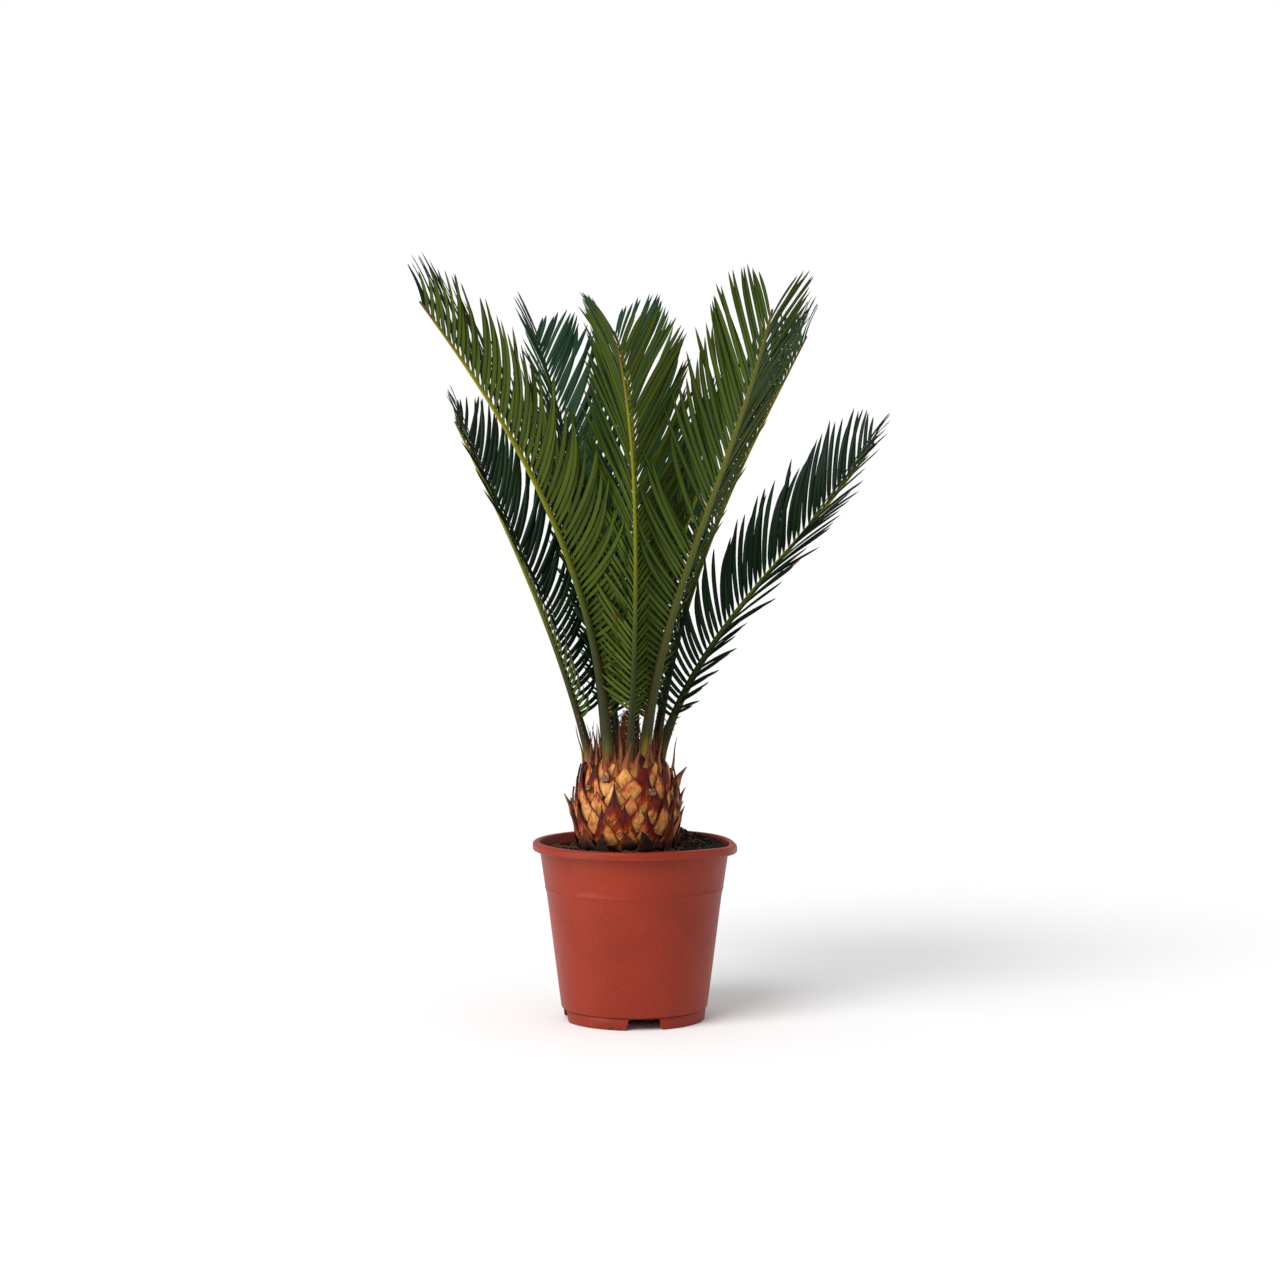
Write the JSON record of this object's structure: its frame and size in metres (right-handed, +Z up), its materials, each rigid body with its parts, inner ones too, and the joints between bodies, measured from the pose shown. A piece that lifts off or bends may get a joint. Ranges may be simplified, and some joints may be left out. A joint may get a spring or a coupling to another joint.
{
  "type": "potted sago palm",
  "caption": "Young sago palm with a scaly trunk and arching feather fronds, standing in a round plastic nursery pot of soil.",
  "frame": {"origin": "centre of the flat pad under the pot, on the ground plane that the pot stands on", "axes": "+Z up, -Y the front that the picture shows, +X to its right"},
  "size_m": [0.3929, 0.4838, 0.6294],
  "materials": {
    "terracotta_plastic": "terracotta-coloured plastic, satin, lightly scuffed",
    "potting_soil": "damp black peat with fibres",
    "trunk_scales": "tan leaf bases with red-brown dry edges",
    "bud_felt": "brown felt",
    "frond_green": "leathery green leaflets, glossier above than below"
  },
  "bodies": {
    "root": {"pot": "terracotta_plastic", "soil": "potting_soil", "trunk": "trunk_scales", "crown_bud": "bud_felt", "frond_left_front": "frond_green", "frond_front": "frond_green", "frond_right_front": "frond_green", "frond_right": "frond_green", "frond_left": "frond_green", "frond_right_back": "frond_green", "frond_left_back": "frond_green", "frond_back": "frond_green", "frond_low_back": "frond_green", "frond_inner_left": "frond_green", "frond_inner_right": "frond_green"}
  },
  "joints": []
}
